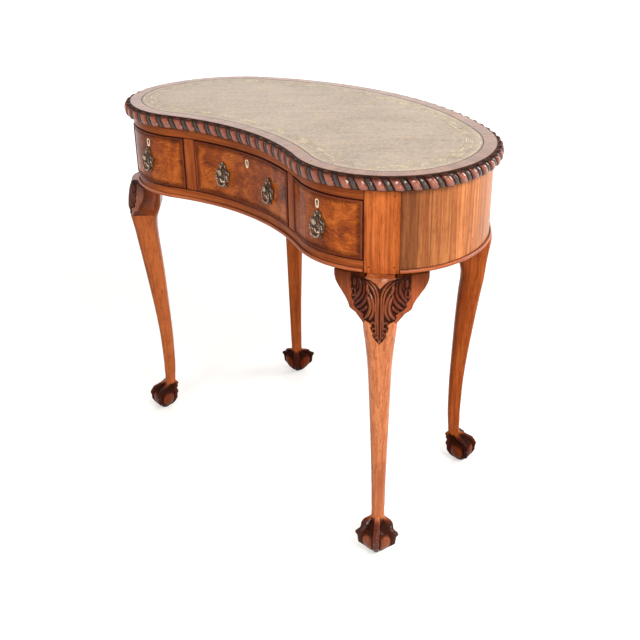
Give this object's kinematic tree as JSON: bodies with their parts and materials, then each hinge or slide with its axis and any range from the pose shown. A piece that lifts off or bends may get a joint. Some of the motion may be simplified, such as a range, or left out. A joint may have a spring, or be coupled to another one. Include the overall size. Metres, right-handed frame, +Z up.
{
  "type": "kidney shaped writing desk",
  "caption": "Kidney shaped walnut writing desk with a hollow drawer front, inset leather top, gadroon edge and cabriole legs ending in ball-and-claw feet.",
  "frame": {"origin": "on the floor, under the middle of the desk's bounding box with the drawers shut and the drops hanging", "axes": "+X runs along the desk to the right of a person who faces the drawers, the hollow drawer front faces -Y, +Z is up"},
  "size_m": [0.8904, 0.4876, 0.762],
  "materials": {
    "polished_walnut": "french polished, warm orange brown",
    "carved_walnut": "polished carving, dark in the hollows",
    "burr_walnut": "polished burr veneer",
    "drawer_oak": "unpolished",
    "olive_leather": "worn, waxed, gilt tooled",
    "handle_bronze": "dark cast brass with rubbed high points",
    "lock_brass": "plain"
  },
  "bodies": {
    "carcase": {"top_board": "polished_walnut", "leather_panel": "olive_leather", "gadroon_front": "carved_walnut", "gadroon_back": "carved_walnut", "upper_front_rail": "polished_walnut", "lower_front_rail": "polished_walnut", "base_bead_front": "polished_walnut", "base_bead_back": "polished_walnut", "left_divider": "polished_walnut", "right_divider": "polished_walnut", "front_left_leg": "polished_walnut", "front_right_leg": "polished_walnut", "rear_left_leg": "polished_walnut", "rear_right_leg": "polished_walnut", "front_left_inner_ear": "carved_walnut", "front_left_outer_ear": "carved_walnut", "front_right_inner_ear": "carved_walnut", "front_right_outer_ear": "carved_walnut", "left_frieze": "polished_walnut", "back_frieze": "polished_walnut", "right_frieze": "polished_walnut", "left_guide": "drawer_oak", "right_guide": "drawer_oak", "left_inner_bearer": "drawer_oak", "right_inner_bearer": "drawer_oak", "left_outer_bearer": "drawer_oak", "right_outer_bearer": "drawer_oak"},
    "left_drawer": {"left_drawer_front": "burr_walnut", "left_cockbead": "carved_walnut", "left_drawer_left_side": "drawer_oak", "left_drawer_right_side": "drawer_oak", "left_drawer_back": "drawer_oak", "left_drawer_bottom": "drawer_oak", "left_lock_case": "lock_brass", "left_handle_plate": "handle_bronze"},
    "center_drawer": {"center_drawer_front": "burr_walnut", "center_cockbead": "carved_walnut", "center_drawer_left_side": "drawer_oak", "center_drawer_right_side": "drawer_oak", "center_drawer_back": "drawer_oak", "center_drawer_bottom": "drawer_oak", "center_lock_case": "lock_brass", "center_left_handle_plate": "handle_bronze", "center_right_handle_plate": "handle_bronze"},
    "right_drawer": {"right_drawer_front": "burr_walnut", "right_cockbead": "carved_walnut", "right_drawer_left_side": "drawer_oak", "right_drawer_right_side": "drawer_oak", "right_drawer_back": "drawer_oak", "right_drawer_bottom": "drawer_oak", "right_lock_case": "lock_brass", "right_handle_plate": "handle_bronze"},
    "left_bolt": {"left_lock_bolt": "lock_brass"},
    "left_drop": {"left_handle_drop": "handle_bronze"},
    "center_bolt": {"center_lock_bolt": "lock_brass"},
    "center_left_drop": {"center_left_handle_drop": "handle_bronze"},
    "center_right_drop": {"center_right_handle_drop": "handle_bronze"},
    "right_bolt": {"right_lock_bolt": "lock_brass"},
    "right_drop": {"right_handle_drop": "handle_bronze"}
  },
  "joints": [
    {"name": "left_drawer_slide", "type": "slide", "parent": "carcase", "child": "left_drawer", "axis": [0, -1, 0], "range_m": [0, 0.21]},
    {"name": "center_drawer_slide", "type": "slide", "parent": "carcase", "child": "center_drawer", "axis": [0, -1, 0], "range_m": [0, 0.27]},
    {"name": "right_drawer_slide", "type": "slide", "parent": "carcase", "child": "right_drawer", "axis": [0, -1, 0], "range_m": [0, 0.21]},
    {"name": "left_bolt_slide", "type": "slide", "parent": "left_drawer", "child": "left_bolt", "axis": [0, 0, 1], "range_m": [0, 0.006]},
    {"name": "left_drop_hinge", "type": "hinge", "parent": "left_drawer", "child": "left_drop", "pos_m": [-0.26013, -0.23576, 0.6665], "axis": [-1, 0.0008, 0], "range_deg": [0, 80]},
    {"name": "center_bolt_slide", "type": "slide", "parent": "center_drawer", "child": "center_bolt", "axis": [0, 0, 1], "range_m": [0, 0.006]},
    {"name": "center_left_drop_hinge", "type": "hinge", "parent": "center_drawer", "child": "center_left_drop", "pos_m": [-0.06869, -0.18753, 0.6665], "axis": [-0.99, -0.1413, 0], "range_deg": [0, 80]},
    {"name": "center_right_drop_hinge", "type": "hinge", "parent": "center_drawer", "child": "center_right_drop", "pos_m": [0.06869, -0.18753, 0.6665], "axis": [-0.99, 0.1413, 0], "range_deg": [0, 80]},
    {"name": "right_bolt_slide", "type": "slide", "parent": "right_drawer", "child": "right_bolt", "axis": [0, 0, 1], "range_m": [0, 0.006]},
    {"name": "right_drop_hinge", "type": "hinge", "parent": "right_drawer", "child": "right_drop", "pos_m": [0.26013, -0.23576, 0.6665], "axis": [-1, -0.0008, 0], "range_deg": [0, 80]}
  ]
}
